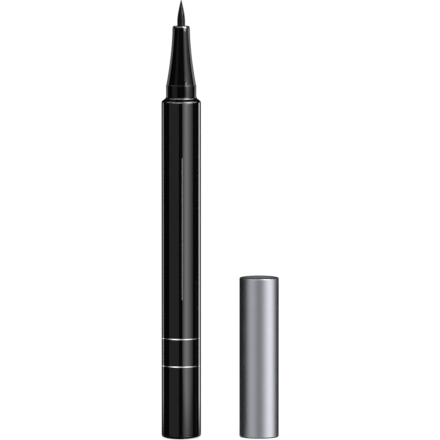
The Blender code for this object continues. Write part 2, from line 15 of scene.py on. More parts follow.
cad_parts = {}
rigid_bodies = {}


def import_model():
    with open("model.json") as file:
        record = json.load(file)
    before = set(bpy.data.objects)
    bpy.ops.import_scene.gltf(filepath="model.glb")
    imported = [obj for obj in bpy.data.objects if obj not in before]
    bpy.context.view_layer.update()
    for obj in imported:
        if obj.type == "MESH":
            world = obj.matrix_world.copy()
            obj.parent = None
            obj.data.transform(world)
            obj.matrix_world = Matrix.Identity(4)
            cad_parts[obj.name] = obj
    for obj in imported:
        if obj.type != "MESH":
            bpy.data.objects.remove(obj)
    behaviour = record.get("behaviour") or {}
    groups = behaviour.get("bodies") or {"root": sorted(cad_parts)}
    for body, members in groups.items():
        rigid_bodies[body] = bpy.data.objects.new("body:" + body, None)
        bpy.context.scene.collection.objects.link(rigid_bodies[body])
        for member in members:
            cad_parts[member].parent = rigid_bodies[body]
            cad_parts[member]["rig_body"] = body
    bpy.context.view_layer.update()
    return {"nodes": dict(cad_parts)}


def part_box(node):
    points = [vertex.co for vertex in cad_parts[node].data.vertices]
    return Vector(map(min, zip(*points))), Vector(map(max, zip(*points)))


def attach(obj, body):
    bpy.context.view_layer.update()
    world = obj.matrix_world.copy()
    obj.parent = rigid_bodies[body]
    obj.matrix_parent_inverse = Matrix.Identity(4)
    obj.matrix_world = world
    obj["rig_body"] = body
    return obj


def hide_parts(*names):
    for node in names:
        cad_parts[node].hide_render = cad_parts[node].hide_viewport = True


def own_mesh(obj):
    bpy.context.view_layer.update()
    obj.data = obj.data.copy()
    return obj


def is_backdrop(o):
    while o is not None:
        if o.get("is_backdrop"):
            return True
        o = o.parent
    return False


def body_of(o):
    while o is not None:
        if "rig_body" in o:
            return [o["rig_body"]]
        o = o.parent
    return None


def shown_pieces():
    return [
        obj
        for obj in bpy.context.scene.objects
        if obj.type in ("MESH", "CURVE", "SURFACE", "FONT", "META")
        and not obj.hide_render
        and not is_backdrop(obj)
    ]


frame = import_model()

MM = 0.001

# Facets of the turned pieces
FINE_SIDES = 160
SMALL_SIDES = 96
ARC_STEPS = 8
EDGE_STEPS = 4
SMALL_EDGE_STEPS = 3
WELD = 0.00005 * MM
SHARP_ANGLE = math.radians(32)
LONG_RUN = 0.6 * MM
RUN_MARGIN = 0.05 * MM

# Fits and small edges
FIT_GAP = 0.1 * MM
FINE_EDGE = 0.06 * MM
SOFT_EDGE = 0.12 * MM

# Barrel, with its inlaid silver rings and printed line
BARREL_WALL = 0.8 * MM
BARREL_LIP = 1.9 * MM
SHOULDER_DROP = 1.0 * MM
SHOULDER_ROUNDING = 0.85 * MM
COLLAR_DROP = 0.1 * MM
COLLAR_FILLET = 0.7 * MM
COLLAR_GAP = 0.04 * MM
COLLAR_FACE = 0.03 * MM
RINGS = (("lower_ring", 20.43 * MM), ("upper_ring", 28.14 * MM))
RING_WIDTH = 0.26 * MM
RING_DEPTH = 0.05 * MM
RING_FIT = 0.005 * MM
LINE_FOOT = 39.2 * MM
LINE_TOP = 78.7 * MM
LINE_AZIMUTH = math.radians(3.3)

# Tail plug
TAIL_FLAT_RADIUS = 3.4 * MM
TAIL_DOME_HEIGHT = 0.9 * MM
TAIL_LAND = 0.1 * MM
SPIGOT_WALL = 0.8 * MM
SPIGOT_FLOOR = 0.9 * MM
SNAP_RIB_HEIGHT = 0.25 * MM
SNAP_RIB_WIDTH = 0.8 * MM
SNAP_RIB_COUNT = 2

# Nozzle, with the angles of its rim in degrees
NOZZLE_RADIUS = 4.22 * MM
NOZZLE_TIP_RADIUS = 2.45 * MM
NOZZLE_STRAIGHT = 3.6 * MM
NOZZLE_FLARE_POWER = 1.7
NOZZLE_FLARE_STEPS = 40
NOZZLE_FLARE_CROWDING = 1.4
NOZZLE_CREASE = 0.075 * MM
NOZZLE_RIM_RADIUS = 1.5 * MM
NOZZLE_RIM_START = 10.0
NOZZLE_RIM_END = 32.0
NOZZLE_TRIM = 0.34 * MM
NOZZLE_MOUTH_RADIUS = 1.2 * MM
NOZZLE_STEP_LENGTH = 2.2 * MM
SKIRT_WALL = 0.6 * MM
SKIRT_LENGTH = 19.9 * MM

# Brush
BRUSH_RADIUS = 1.1 * MM
BRUSH_ROOT_DEPTH = 0.6 * MM
BRUSH_STRAIGHT = 1.3 * MM
BRUSH_CURVE_POWER = 1.4
BRISTLES_ACROSS = 34
BRISTLE_GAP_SHARE = 0.04
BRISTLE_RINGS = 9
BRISTLE_SHORTFALL_SHARE = 0.22
BRISTLE_WANDER_SHARE = 0.035
BRISTLE_TAPER_POWER = 4
BRISTLE_LEAST_SHARE = 0.02
BRUSH_SEED = 4

# Cap
SHELL_WALL = 0.45 * MM
SHELL_ROUNDING = 0.3 * MM
SHELL_FOOT_ROUNDING = 0.15 * MM
SHELL_RISE = 0.06 * MM
MOUTH_FLANGE = 0.25 * MM
MOUTH_RIM = 0.3 * MM
MOUTH_ROUNDING = 0.2 * MM
LINER_BORE = 4.3 * MM
LINER_WALL = 0.45 * MM
LINER_BAND = 2.4 * MM
LINER_LEDGE = 1.2 * MM
SNAP_BEAD_PLACE = 3.0 * MM
SNAP_BEAD_WIDTH = 1.0 * MM
SNAP_BEAD_HEIGHT = 0.07 * MM
CROWN_DISC = 2.1 * MM
CROWN_ROUNDING = 0.2 * MM
CROWN_RISE = 0.15 * MM
# Share of the crown's radius over which painted shade darkens it towards its edge
CROWN_SHADE_SHARE = 0.34

# Sprung inner cap
SEAL_BORE_LENGTH = 5.0 * MM
INNER_CAP_WALL = 0.3 * MM
INNER_FLANGE = 0.45 * MM
INNER_FLANGE_THICKNESS = 1.0 * MM
INNER_CAP_ROOF = 1.0 * MM
INNER_CAP_CONE = 1.2 * MM
BRUSH_ROOM = 0.8 * MM
SPRING_PIN_RADIUS = 1.2 * MM
SPRING_PIN_LENGTH = 2.2 * MM
SPRING_WIRE_RADIUS = 0.15 * MM
SPRING_SOCKET_GAP = 0.25 * MM
SPRING_TURNS = 7
SPRING_END_PITCH = 0.65 * MM
SPRING_TURN_POINTS = 32
SPRING_WIRE_SIDES = 10

# Mixing ball
BALL_SUBDIVISIONS = 4

# Grain and shader values of the finishes
NOISE_DETAIL = 4.0
NOISE_ROUGHNESS = 0.55
NOISE_MIDDLE = (0.3, 0.7)
METAL = {"Metallic": 1.0}
LACQUER = {"Coat Weight": 1.0, "Coat Roughness": 0.02}
TRANSLUCENT = {"Subsurface Weight": 0.35, "Subsurface Radius": (1.2 * MM, 1.2 * MM, 1.1 * MM)}

# Photograph's frame and viewing angle, in degrees
FRAME_WIDTH = 122.5 * MM
SENSOR_WIDTH = 36.0
CAMERA_ELEVATION = 5.2
CAMERA_DISTANCE = 2.6
CAMERA_NEAR = 0.1
CAMERA_FAR = 30.0
AIM = Vector((10.79 * MM, 0.0, 61.05 * MM))

# Floor and surroundings
FLOOR_SIZE = 14.0
FLOOR_PAINT = 0.4
FLOOR_GLOW = 0.88
FLAG_RADIUS = 1.1
FLAG_HEIGHT = 2.4
FLAG_SIDES = 64
FLAG_GLOW = 0.008
AMBIENT = 0.35

# Lamps
LAMP_DISTANCE = 0.5
LAMP_FOOT = -0.4
LAMP_TOP = 0.25
RIM_LAMP_TOP = 0.15
CAP_LAMP_TOP = 0.5
BACK_LAMP_FOOT = -0.5
HIGH_LIGHT_DISTANCE = 0.8
EVEN_GLOW = ((0.0, 1.0), (1.0, 1.0))
NEUTRAL = (1.0, 1.0, 1.0)
COOL = (0.95, 0.98, 1.05)
PALE_COOL = (0.975, 0.99, 1.035)

# Height on a lamp that parts what the nozzle mirrors below its crease from what it mirrors above
CREASE_HEIGHT = 0.066

# Heights between which a fading lamp dims, as shares of its distance
FADE_START_SHARE = -0.088
FADE_END_SHARE = -0.112


def reach(node):
    """Radius, foot and top of a turned node, from its box in the frame."""
    low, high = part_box(node)
    return (high.x - low.x) / 2, low.z, high.z


def axis_of(node):
    low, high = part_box(node)
    return Vector(((low.x + high.x) / 2, (low.y + high.y) / 2, 0.0))


pen_axis = axis_of("barrel")
cap_axis = axis_of("cap_shell")


# Modelling


def kept_flat(outline, closed):
    """The outline with a point near both ends of each long straight, to keep it flat in smooth shading."""
    points = []
    ends = outline[1:] + (outline[:1] if closed else outline[-1:])
    for here, after in zip(outline, ends):
        points.append(here)
        run = Vector(after) - Vector(here)
        if run.length > LONG_RUN:
            step = run.normalized() * RUN_MARGIN
            points += [tuple(Vector(here) + step), tuple(Vector(after) - step)]
    return points


def turned(outline, axis, sides=FINE_SIDES, closed=True):
    """A turned solid from (radius, height) points. An open outline starts and ends on the axis."""
    shape = bmesh.new()
    path = kept_flat(outline, closed)
    points = [shape.verts.new((axis.x + radius, axis.y, height)) for radius, height in path]
    pairs = list(zip(points, points[1:]))
    if closed:
        pairs.append((points[-1], points[0]))
    edges = [shape.edges.new(pair) for pair in pairs]
    bmesh.ops.spin(
        shape,
        geom=points + edges,
        cent=axis,
        axis=Vector((0, 0, 1)),
        angle=math.tau,
        steps=sides,
        use_merge=True,
    )
    bmesh.ops.remove_doubles(shape, verts=shape.verts, dist=WELD)
    bmesh.ops.recalc_face_normals(shape, faces=shape.faces)
    return shape


def arc(centre, radii, start, end, steps=ARC_STEPS):
    """Points of an elliptical arc in an outline, with its angles in degrees from the radial direction."""
    turns = [math.radians(start + (end - start) * step / steps) for step in range(steps + 1)]
    return [(centre[0] + radii[0] * math.cos(turn), centre[1] + radii[1] * math.sin(turn)) for turn in turns]


def fillet(before, corner, after, radius, steps=ARC_STEPS):
    """A round of this radius in place of an outline's corner."""
    corner = Vector(corner)
    ways = [(Vector(point) - corner).normalized() for point in (before, after)]
    half = ways[0].angle(ways[1]) / 2
    starts = [corner + way * radius / math.tan(half) for way in ways]
    centre = corner + (ways[0] + ways[1]).normalized() * radius / math.sin(half)
    arms = [start - centre for start in starts]
    swing = arms[0].angle(arms[1])
    points = []
    for step in range(steps + 1):
        share = step / steps
        first = math.sin((1 - share) * swing) / math.sin(swing)
        second = math.sin(share * swing) / math.sin(swing)
        points.append(tuple(centre + arms[0] * first + arms[1] * second))
    return points


def object_of(name, shape, materials):
    """An object of the finished bmesh, with its materials."""
    mesh = bpy.data.meshes.new(name)
    shape.to_mesh(mesh)
    shape.free()
    for material in materials:
        mesh.materials.append(material)
    made = bpy.data.objects.new(name, mesh)
    bpy.context.scene.collection.objects.link(made)
    return made


def piece(name, shape, body, materials, nodes=()):
    """A piece of the finished bmesh, which rides on a body and stands for its CAD node."""
    made = object_of(name, shape, materials)
    made.data.shade_smooth()
    made.data.set_sharp_from_angle(angle=SHARP_ANGLE)
    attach(made, body)
    if nodes:
        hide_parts(*nodes)
    return made


# Shader nodes


def calculated(tree, operation, *terms):
    """Result of a math node on these terms, each a number or another node's output."""
    node = tree.nodes.new("ShaderNodeMath")
    node.operation = operation
    for socket, term in zip(node.inputs, terms):
        if isinstance(term, (int, float)):
            socket.default_value = term
        else:
            tree.links.new(term, socket)
    return node.outputs["Value"]


def ranged(tree, source, before, after):
    """The source, with its range before brought to the range after."""
    node = tree.nodes.new("ShaderNodeMapRange")
    node.inputs["From Min"].default_value, node.inputs["From Max"].default_value = before
    node.inputs["To Min"].default_value, node.inputs["To Max"].default_value = after
    tree.links.new(source, node.inputs["Value"])
    return node.outputs["Result"]


def object_place(tree, scale, shift=(0.0, 0.0, 0.0)):
    """The piece's own coordinates, scaled and then shifted."""
    place = tree.nodes.new("ShaderNodeTexCoord")
    mapping = tree.nodes.new("ShaderNodeMapping")
    mapping.inputs["Scale"].default_value = scale
    mapping.inputs["Location"].default_value = shift
    tree.links.new(place.outputs["Object"], mapping.inputs["Vector"])
    return mapping.outputs["Vector"]


def object_noise(tree, scale, draw=1.0):
    """Noise of this many spots for each metre. A draw below 1 pulls them out into upright streaks."""
    noise = tree.nodes.new("ShaderNodeTexNoise")
    noise.inputs["Scale"].default_value = scale
    noise.inputs["Detail"].default_value = NOISE_DETAIL
    noise.inputs["Roughness"].default_value = NOISE_ROUGHNESS
    tree.links.new(object_place(tree, (1.0, 1.0, draw)), noise.inputs["Vector"])
    return noise.outputs["Fac"]


def crown_edge_shade(tree):
    """Painted shade across the cap's crown: 0 at its edge, and 1 from some way in to its middle."""
    radius = reach("cap_crown")[0]
    inward = tree.nodes.new("ShaderNodeTexGradient")
    inward.gradient_type = "SPHERICAL"
    place = object_place(tree, (1 / radius, 1 / radius, 0.0), -cap_axis / radius)
    tree.links.new(place, inward.inputs["Vector"])
    return ranged(tree, inward.outputs["Fac"], (0.0, CROWN_SHADE_SHARE), (0.0, 1.0))


# Finishes


def finish(
    name, colour, roughness, tints, grain, gloss=None, draw=1.0, constants=None, shading=None, relief=0.0
):
    """A material whose colour drifts between two tints with its grain.

    Its plain colour stands in where nodes aren't read. Its roughness is even, or drifts between the ends of
    its gloss. Constants are set on the shader as they are. Shading makes the pattern that the tint
    follows where that isn't the grain, either clouds of tone or painted shade. Relief is the height of the
    grain.
    """
    made = bpy.data.materials.new(name)
    made.use_nodes = True
    made.diffuse_color = (*colour, 1.0)
    tree = made.node_tree
    sockets = tree.nodes["Principled BSDF"].inputs
    sockets["Base Color"].default_value = (*colour, 1.0)
    sockets["Roughness"].default_value = roughness
    for socket, value in (constants or {}).items():
        sockets[socket].default_value = value
    spots = object_noise(tree, grain, draw)
    tint = tree.nodes.new("ShaderNodeMix")
    tint.data_type = "RGBA"
    tint.inputs["A"].default_value = (*tints[0], 1.0)
    tint.inputs["B"].default_value = (*tints[1], 1.0)
    tree.links.new(shading(tree) if shading else spots, tint.inputs["Factor"])
    tree.links.new(tint.outputs["Result"], sockets["Base Color"])
    if gloss:
        tree.links.new(ranged(tree, spots, NOISE_MIDDLE, gloss), sockets["Roughness"])
    if relief:
        bump = tree.nodes.new("ShaderNodeBump")
        bump.inputs["Distance"].default_value = relief
        tree.links.new(spots, bump.inputs["Height"])
        tree.links.new(bump.outputs["Normal"], sockets["Normal"])
    return made


# Lacquered moulding, with faint handling marks in its gloss
black = finish(
    "gloss_black",
    colour=(0.0015, 0.0015, 0.002),
    roughness=0.07,
    tints=((0.001, 0.001, 0.0014), (0.002, 0.002, 0.0026)),
    gloss=(0.05, 0.09),
    grain=900.0,
    draw=0.3,
    constants=LACQUER,
    shading=lambda tree: object_noise(tree, 220.0),
)
# Polished silver of the barrel's rings
ring_silver = finish(
    "bright_silver",
    colour=(0.9, 0.9, 0.91),
    roughness=0.16,
    tints=((0.87, 0.87, 0.88), (0.93, 0.93, 0.94)),
    gloss=(0.12, 0.2),
    grain=4000.0,
    constants=METAL,
)
# Screen-printed ink of the fine line
ink_line = finish(
    "printed_grey",
    colour=(0.16, 0.16, 0.165),
    roughness=0.3,
    tints=((0.13, 0.13, 0.135), (0.19, 0.19, 0.195)),
    grain=3500.0,
)
# Nylon filament wet with ink
bristle = finish(
    "inked_bristle",
    colour=(0.005, 0.005, 0.006),
    roughness=0.32,
    tints=((0.003, 0.003, 0.004), (0.010, 0.010, 0.011)),
    gloss=(0.24, 0.42),
    grain=5200.0,
    draw=0.05,
)
# Anodised aluminium with a fine lengthwise grain
silver = finish(
    "satin_silver",
    colour=(0.62, 0.63, 0.65),
    roughness=0.36,
    tints=((0.60, 0.61, 0.635), (0.645, 0.65, 0.67)),
    gloss=(0.33, 0.4),
    grain=5200.0,
    draw=0.12,
    constants=METAL,
    shading=lambda tree: object_noise(tree, 260.0),
    relief=0.002 * MM,
)
# Dark grey moulding of the crown, with painted shade that darkens it towards its edge
crown_grey = finish(
    "dark_satin",
    colour=(0.14, 0.149, 0.158),
    roughness=0.4,
    # The first tint is painted shade at the crown's edge, the second the crown's own grey
    tints=((0.032, 0.034, 0.036), (0.14, 0.149, 0.158)),
    gloss=(0.36, 0.46),
    grain=3200.0,
    shading=crown_edge_shade,
)
# Plain black moulding of the liner and the brush holder
moulding = finish(
    "moulded_black",
    colour=(0.02, 0.02, 0.022),
    roughness=0.35,
    tints=((0.016, 0.016, 0.018), (0.026, 0.026, 0.028)),
    gloss=(0.3, 0.42),
    grain=2600.0,
)
# Milky polypropylene
milky = finish(
    "natural_plastic",
    colour=(0.78, 0.79, 0.78),
    roughness=0.35,
    tints=((0.74, 0.75, 0.74), (0.82, 0.83, 0.82)),
    gloss=(0.3, 0.4),
    grain=420.0,
    constants=TRANSLUCENT,
)
# White moulding of the ink collector and the brush retainer
white = finish(
    "white_plastic",
    colour=(0.85, 0.85, 0.83),
    roughness=0.4,
    tints=((0.82, 0.82, 0.80), (0.87, 0.87, 0.85)),
    gloss=(0.36, 0.46),
    grain=1800.0,
)
# Rubber of the seals, with a little dust
rubber = finish(
    "black_rubber",
    colour=(0.018, 0.018, 0.018),
    roughness=0.75,
    tints=((0.014, 0.014, 0.014), (0.03, 0.03, 0.03)),
    gloss=(0.65, 0.85),
    grain=3000.0,
)
# Bonded fibre, drawn along the pen
fibre = finish(
    "wick_fibre",
    colour=(0.8, 0.78, 0.72),
    roughness=0.9,
    tints=((0.62, 0.60, 0.55), (0.86, 0.84, 0.78)),
    grain=6000.0,
    draw=0.04,
    relief=0.03 * MM,
)
# Bright steel of the ball and the spring
steel = finish(
    "bright_steel",
    colour=(0.66, 0.66, 0.67),
    roughness=0.2,
    tints=((0.62, 0.62, 0.63), (0.70, 0.70, 0.71)),
    gloss=(0.14, 0.28),
    grain=2400.0,
    constants=METAL,
)


# Pieces of the pen


def barrel():
    """The tube, with a rounded shoulder, a fillet up to the nozzle, grooves for the rings and a fine line."""
    radius, foot, top = reach("barrel")
    bore = radius - BARREL_WALL
    mouth = NOZZLE_RADIUS + COLLAR_GAP
    collar = mouth + COLLAR_FACE
    side = (radius, LINE_TOP)
    shoulder = (radius, top - SHOULDER_DROP)
    neck = (collar, top - COLLAR_DROP)
    front = (collar, top + COLLAR_FILLET)
    outline = [(bore, foot)]
    outline += fillet((bore, foot), (radius, foot), side, SOFT_EDGE, EDGE_STEPS)
    for _, middle in RINGS:
        groove = (middle - RING_WIDTH / 2, middle + RING_WIDTH / 2)
        outline += [(radius, groove[0]), (radius - RING_DEPTH, groove[0])]
        outline += [(radius - RING_DEPTH, groove[1]), (radius, groove[1])]
    outline += [(radius, LINE_FOOT), side]
    outline += fillet(side, shoulder, neck, SHOULDER_ROUNDING)
    outline += fillet(shoulder, neck, front, COLLAR_FILLET)
    rim = outline[-1][1]
    outline += [(mouth, rim), (mouth, top - BARREL_LIP), (bore, top - BARREL_LIP)]
    shape = turned(outline, pen_axis)
    step = math.tau / FINE_SIDES
    column = math.floor((LINE_AZIMUTH - math.pi / 2) / step) * step + step / 2
    for face in shape.faces:
        middle = face.calc_center_median() - pen_axis
        outer = middle.xy.length > radius - BARREL_WALL / 2
        turn = math.remainder(math.atan2(middle.y, middle.x) - column, math.tau)
        if outer and LINE_FOOT < middle.z < LINE_TOP and abs(turn) < step / 4:
            face.material_index = 1
    piece("barrel_tube", shape, "pen", (black, ink_line), ["barrel"])


def barrel_rings():
    """Two silver bands, let into the barrel flush with its face."""
    radius = reach("barrel")[0]
    inner = radius - RING_DEPTH + RING_FIT
    for name, middle in RINGS:
        foot = middle - RING_WIDTH / 2 + RING_FIT
        top = middle + RING_WIDTH / 2 - RING_FIT
        shape = turned([(inner, foot), (radius, foot), (radius, top), (inner, top)], pen_axis)
        piece(name, shape, "pen", (ring_silver,))


def tail_plug():
    """The domed end that shuts the barrel, on a hollow spigot with snap ribs."""
    radius, foot, top = reach("tail_plug")
    flange = foot + TAIL_DOME_HEIGHT + TAIL_LAND
    rib_radius = radius - BARREL_WALL - FIT_GAP
    core = rib_radius - SNAP_RIB_HEIGHT
    bore = core - SPIGOT_WALL
    floor = flange + SPIGOT_FLOOR
    dome = (radius - TAIL_FLAT_RADIUS, TAIL_DOME_HEIGHT)
    outline = [(0.0, foot)]
    outline += arc((TAIL_FLAT_RADIUS, foot + TAIL_DOME_HEIGHT), dome, -90, 0, 2 * ARC_STEPS)
    outline += fillet(outline[-1], (radius, flange), (core, flange), FINE_EDGE / 2, SMALL_EDGE_STEPS)
    outline.append((core, flange))
    for rib in range(SNAP_RIB_COUNT):
        middle = flange + (top - flange) * (rib + 1) / (SNAP_RIB_COUNT + 1)
        outline += arc((core, middle), (SNAP_RIB_HEIGHT, SNAP_RIB_WIDTH / 2), -90, 90)
    outline += fillet((core, flange), (core, top), (bore, top), SOFT_EDGE, EDGE_STEPS)
    outline += [(bore, top), (bore, floor), (0.0, floor)]
    shape = turned(outline, pen_axis, closed=False)
    piece("tail_end", shape, "pen", (black,), ["tail_plug"])


def nozzle():
    """The flared front end, with a crease at the foot of its flare and an eased rim."""
    skirt, rear, tip = reach("nozzle")
    skirt_bore = skirt - SKIRT_WALL
    tip -= NOZZLE_TRIM
    shoulder = rear + SKIRT_LENGTH
    crease = reach("barrel")[2] + NOZZLE_STRAIGHT
    flare_radius = NOZZLE_RADIUS - NOZZLE_CREASE
    start, end = math.radians(NOZZLE_RIM_START), math.radians(NOZZLE_RIM_END)
    rim = (NOZZLE_TIP_RADIUS - NOZZLE_RIM_RADIUS * math.cos(start), tip - NOZZLE_RIM_RADIUS * math.sin(end))
    flare_height = rim[1] + NOZZLE_RIM_RADIUS * math.sin(start) - crease
    lip = (NOZZLE_MOUTH_RADIUS + SOFT_EDGE, tip - SOFT_EDGE)
    outline = [(skirt_bore, rear)]
    outline += fillet((skirt_bore, rear), (skirt, rear), (skirt, shoulder), SOFT_EDGE, EDGE_STEPS)
    outline += [(skirt, shoulder), (NOZZLE_RADIUS, shoulder)]
    outline += arc((flare_radius, crease - NOZZLE_CREASE), (NOZZLE_CREASE, NOZZLE_CREASE), 0, 90, EDGE_STEPS)
    for step in range(1, NOZZLE_FLARE_STEPS + 1):
        share = 1 - (1 - step / NOZZLE_FLARE_STEPS) ** NOZZLE_FLARE_CROWDING
        swell = (flare_radius - NOZZLE_TIP_RADIUS) * (1 - share) ** NOZZLE_FLARE_POWER
        outline.append((NOZZLE_TIP_RADIUS + swell, crease + flare_height * share))
    outline += arc(rim, (NOZZLE_RIM_RADIUS, NOZZLE_RIM_RADIUS), NOZZLE_RIM_START, NOZZLE_RIM_END)[1:]
    outline += arc(lip, (SOFT_EDGE, SOFT_EDGE), 90, 180, EDGE_STEPS)
    holder_radius, holder_rear, holder_front = reach("brush_holder")
    seat = holder_radius + FIT_GAP
    stop = holder_front + FIT_GAP
    nose = reach("brush_retainer")[0] + FIT_GAP
    step_up = shoulder - NOZZLE_STEP_LENGTH
    outline += [(NOZZLE_MOUTH_RADIUS, stop), (seat, stop), (seat, holder_rear)]
    outline += [(nose, holder_rear), (nose, step_up), (skirt_bore, step_up)]
    piece("nozzle_shell", turned(outline, pen_axis), "pen", (black,), ["nozzle"])


def brush():
    """Tapered filaments that start packed in the nozzle's mouth, run straight and then gather to a point."""
    tip = reach("brush_tip")[2]
    root = reach("nozzle")[2] - BRUSH_ROOT_DEPTH
    free = tip - root
    straight = (BRUSH_ROOT_DEPTH + BRUSH_STRAIGHT) / free

    def gathered_at(along):
        share = max(along - straight, 0.0) / (1 - straight)
        return max(1 - share**BRUSH_CURVE_POWER, 0.0)

    shape = bmesh.new()
    bmesh.ops.create_grid(shape, x_segments=BRISTLES_ACROSS, y_segments=BRISTLES_ACROSS, size=1.0)
    for vertex in shape.verts:
        x, y = vertex.co.x, vertex.co.y
        vertex.co = (x * math.sqrt(1 - y * y / 2), y * math.sqrt(1 - x * x / 2), 0.0)
        vertex.co *= BRUSH_RADIUS
        vertex.co.z = root
    roots = shape.faces[:]
    cell = 2 * BRUSH_RADIUS / BRISTLES_ACROSS
    bmesh.ops.inset_individual(shape, faces=roots, thickness=cell * BRISTLE_GAP_SHARE)
    chance = random.Random(BRUSH_SEED)
    wander = BRISTLE_WANDER_SHARE * BRUSH_RADIUS
    centres = [face.calc_center_median() for face in roots]
    grown = []
    for centre in centres:
        distance = min(centre.xy.length / BRUSH_RADIUS, 1.0)
        shortfall = BRISTLE_SHORTFALL_SHARE * distance * chance.random()
        drift = Vector((chance.uniform(-wander, wander), chance.uniform(-wander, wander), 0.0))
        grown.append((centre, 1 - shortfall, drift))
    faces = roots
    before = [(centre, 1.0) for centre in centres]
    for ring in range(1, BRISTLE_RINGS):
        faces = bmesh.ops.extrude_discrete_faces(shape, faces=faces)["faces"]
        share = ring / BRISTLE_RINGS
        now = []
        for face, (centre, length, drift), (old_centre, old_width) in zip(faces, grown, before):
            along = share * length
            gather = gathered_at(along)
            place = centre * gather + drift * math.sin(math.pi * share) * gather
            place.z = root + free * along
            width = gather * (1 - share**BRISTLE_TAPER_POWER) + BRISTLE_LEAST_SHARE * (1 - share)
            for vertex in face.verts:
                vertex.co = place + (vertex.co - old_centre) * (width / old_width)
                vertex.co.z = place.z
            now.append((place, width))
        before = now
    points = bmesh.ops.poke(shape, faces=faces)["verts"]
    for point, (centre, length, _) in zip(points, grown):
        point.co = centre * gathered_at(length)
        point.co.z = root + free * length
    piece("bristles", shape, "pen", (bristle,), ["brush_tip"])


# Pieces of the cap


def cap_shell():
    """The drawn metal tube, rounded at its top."""
    radius, _, top = reach("cap_shell")
    foot = reach("cap_liner")[1] + MOUTH_FLANGE
    top += SHELL_RISE
    bore = radius - SHELL_WALL
    edge = (radius - SHELL_ROUNDING, top - SHELL_ROUNDING)
    outline = [(bore, foot)]
    outline += fillet((bore, foot), (radius, foot), (radius, top), SHELL_FOOT_ROUNDING)
    outline += arc(edge, (SHELL_ROUNDING, SHELL_ROUNDING), 0, 90)
    outline += [(bore, top)]
    piece("cap_tube", turned(outline, cap_axis), "cap", (silver,), ["cap_shell"])


def cap_crown():
    """The disc that closes the cap, with a socket for the spring under it."""
    radius, foot, top = reach("cap_crown")
    disc = top - CROWN_DISC
    top = reach("cap_shell")[2] + CROWN_RISE
    boss = reach("inner_cap")[0]
    spring_radius, _, spring_head = reach("inner_cap_spring")
    socket = spring_radius + SPRING_SOCKET_GAP
    roof = spring_head + FIT_GAP
    edge = (radius - CROWN_ROUNDING, top - CROWN_ROUNDING)
    outline = [(0.0, roof), (socket, roof), (socket, foot)]
    outline += fillet((socket, foot), (boss, foot), (boss, disc), SOFT_EDGE, SMALL_EDGE_STEPS)
    outline += [(boss, disc), (radius, disc)]
    outline += arc(edge, (CROWN_ROUNDING, CROWN_ROUNDING), 0, 90)
    outline += [(0.0, top)]
    shape = turned(outline, cap_axis, closed=False)
    piece("cap_top", shape, "cap", (crown_grey,), ["cap_crown"])


def cap_liner():
    """The plastic tube in the shell: mouth flange, snap bead, bands, and the ledge for the inner cap."""
    flange, foot, top = reach("cap_liner")
    band = reach("cap_shell")[0] - SHELL_WALL - FIT_GAP
    inner_flange, inner_foot, _ = reach("inner_cap")
    flange_foot = inner_foot + SEAL_BORE_LENGTH - INNER_FLANGE_THICKNESS
    ledge_front = flange_foot - FIT_GAP
    ledge_rear = ledge_front - LINER_LEDGE
    bore = LINER_BORE
    wall = bore + LINER_WALL
    upper_bore = inner_flange + FIT_GAP
    upper_wall = upper_bore + LINER_WALL
    seal_wall = inner_flange - INNER_FLANGE + FIT_GAP
    mouth = flange - MOUTH_RIM
    chamfer = (bore, foot + mouth - bore)
    flange_edge = (flange - MOUTH_ROUNDING, foot + MOUTH_ROUNDING)
    bead_middle = (bore, foot + SNAP_BEAD_PLACE)
    band_top = foot + MOUTH_FLANGE + FIT_GAP + LINER_BAND
    outline = [(mouth, foot)]
    outline += arc(flange_edge, (MOUTH_ROUNDING, MOUTH_ROUNDING), -90, 0)
    for height, radii in (
        (foot + MOUTH_FLANGE, (flange, band)),
        (band_top, (band, wall)),
        (ledge_rear, (wall, band)),
        (ledge_rear + LINER_BAND, (band, upper_wall)),
        (top - LINER_BAND, (upper_wall, band)),
        (top, (band, upper_bore)),
        (ledge_front, (upper_bore, seal_wall)),
    ):
        outline += [(radius, height) for radius in radii]
    ledge = (seal_wall, ledge_rear)
    outline += fillet((seal_wall, ledge_front), ledge, (bore, ledge_rear), SOFT_EDGE, SMALL_EDGE_STEPS)
    outline.append((bore, ledge_rear))
    outline += arc(bead_middle, (SNAP_BEAD_HEIGHT, SNAP_BEAD_WIDTH / 2), 90, 270)
    outline += fillet((bore, ledge_rear), chamfer, (mouth, foot), SOFT_EDGE, SMALL_EDGE_STEPS)
    piece("cap_lining", turned(outline, cap_axis), "cap", (moulding,), ["cap_liner"])


def inner_cap():
    """The cup that shuts over the nozzle, with its flange and the pin for the spring."""
    flange, foot, top = reach("inner_cap")
    radius = flange - INNER_FLANGE
    seal = radius - INNER_CAP_WALL
    room = BRUSH_RADIUS + BRUSH_ROOM
    roof = top - SPRING_PIN_LENGTH
    flange_top = foot + SEAL_BORE_LENGTH
    flange_foot = flange_top - INNER_FLANGE_THICKNESS
    ceiling = roof - INNER_CAP_ROOF
    pin = SPRING_PIN_RADIUS
    outline = [(0.0, top)]
    outline += fillet((0.0, top), (pin, top), (pin, roof), SOFT_EDGE, SMALL_EDGE_STEPS)
    outline.append((pin, roof))
    outline += fillet((pin, roof), (radius, roof), (radius, flange_top), SOFT_EDGE, SMALL_EDGE_STEPS)
    outline.append((radius, flange_top))
    upper, lower = (flange, flange_top), (flange, flange_foot)
    outline += fillet((radius, flange_top), upper, lower, FINE_EDGE, SMALL_EDGE_STEPS)
    outline += fillet(upper, lower, (radius, flange_foot), FINE_EDGE, SMALL_EDGE_STEPS)
    outline.append((radius, flange_foot))
    outline += fillet((radius, flange_foot), (radius, foot), (seal, foot), FINE_EDGE, SMALL_EDGE_STEPS)
    outline += fillet((radius, foot), (seal, foot), (seal, flange_top), SOFT_EDGE, SMALL_EDGE_STEPS)
    outline += [(seal, flange_top), (room, flange_top), (room, ceiling - INNER_CAP_CONE), (0.0, ceiling)]
    shape = turned(outline, cap_axis, SMALL_SIDES, closed=False)
    piece("inner_cup", shape, "inner_cap", (milky,), ["inner_cap"])


